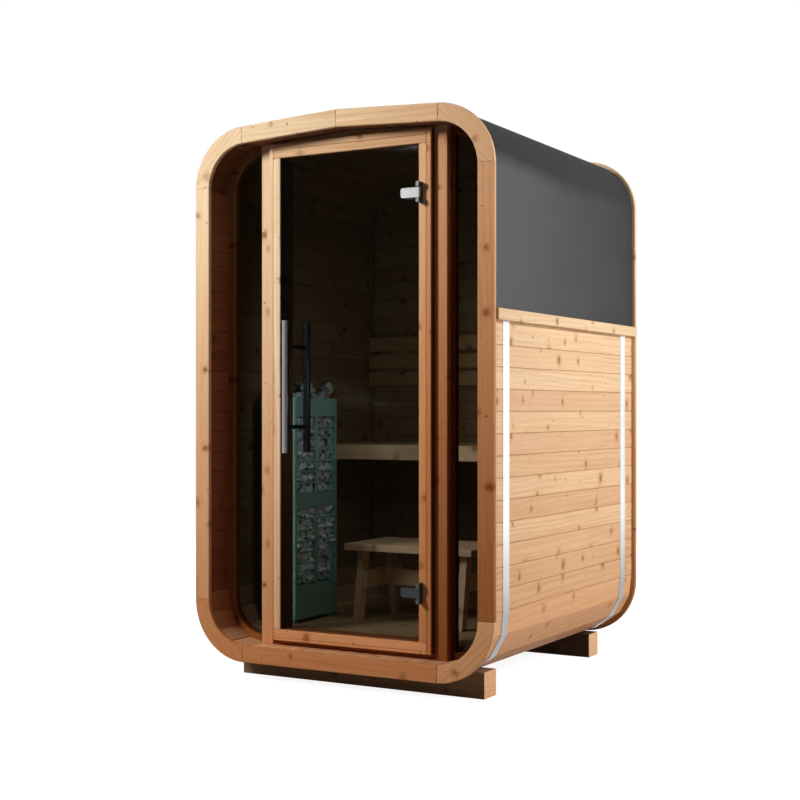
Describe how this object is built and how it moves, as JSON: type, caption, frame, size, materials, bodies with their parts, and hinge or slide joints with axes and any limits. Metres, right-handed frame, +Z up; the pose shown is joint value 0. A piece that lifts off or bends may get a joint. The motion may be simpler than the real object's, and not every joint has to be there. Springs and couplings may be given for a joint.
{
  "type": "outdoor sauna cabin",
  "caption": "Small outdoor sauna cabin with a rounded timber shell, a frameless glass door, side windows and a tower heater, standing on two base beams.",
  "frame": {"origin": "on the ground, under the middle of the cabin", "axes": "+X to the right seen from the front, +Y from the glass front to the back wall, +Z up"},
  "size_m": [1.2782, 1.37, 2.0927],
  "materials": {
    "trim_wood": "planed softwood",
    "stave_wood": "planed knotty softwood",
    "inner_wood": "untreated softwood",
    "roof_sheet": "matt roofing sheet",
    "satin_steel": "satin stainless",
    "dark_metal": "dark satin",
    "tinted_glass": "tinted toughened glass",
    "heater_steel": "bent sheet",
    "heater_stone": "broken stones"
  },
  "bodies": {
    "cabin": {"back_wall": "inner_wood", "backrest": "inner_wood", "bench": "inner_wood", "casing_foot": "trim_wood", "casing_head": "trim_wood", "casing_left_edge": "trim_wood", "casing_left_stile": "trim_wood", "casing_right_edge": "trim_wood", "casing_right_stile": "trim_wood", "floor_panel": "inner_wood", "floor_staves": "stave_wood", "front_band": "satin_steel", "front_beam": "trim_wood", "front_ring_bottom": "trim_wood", "front_ring_left_side": "trim_wood", "front_ring_lower_left_corner": "trim_wood", "front_ring_lower_right_corner": "trim_wood", "front_ring_right_side": "trim_wood", "front_ring_top_left": "trim_wood", "front_ring_top_right": "trim_wood", "front_ring_upper_left_corner": "trim_wood", "front_ring_upper_right_corner": "trim_wood", "front_wall_header": "trim_wood", "front_wall_sill": "trim_wood", "heater_cage": "heater_steel", "heater_stones": "heater_stone", "left_batten": "trim_wood", "left_post": "trim_wood", "left_wall_staves": "stave_wood", "left_window_frame": "trim_wood", "left_window_pane": "tinted_glass", "lower_hinge_plate": "dark_metal", "lower_left_corner_staves": "stave_wood", "lower_right_corner_staves": "stave_wood", "rear_band": "satin_steel", "rear_beam": "trim_wood", "rear_ring_left": "trim_wood", "rear_ring_right": "trim_wood", "right_batten": "trim_wood", "right_post": "trim_wood", "right_wall_staves": "stave_wood", "right_window_frame": "trim_wood", "right_window_pane": "tinted_glass", "roof_cover": "roof_sheet", "roof_staves": "stave_wood", "stool_legs": "inner_wood", "stool_top": "inner_wood", "upper_hinge_plate": "dark_metal", "upper_left_corner_staves": "stave_wood", "upper_right_corner_staves": "stave_wood"},
    "door": {"door_glass": "tinted_glass", "lower_clamp": "satin_steel", "upper_clamp": "satin_steel", "outer_handle": "satin_steel", "inner_handle": "satin_steel"}
  },
  "joints": [
    {"name": "door_hinge", "type": "hinge", "parent": "cabin", "child": "door", "pos_m": [0.307, -0.623, 1.0745], "axis": [0, 0, 1], "range_deg": [0, 105]}
  ]
}
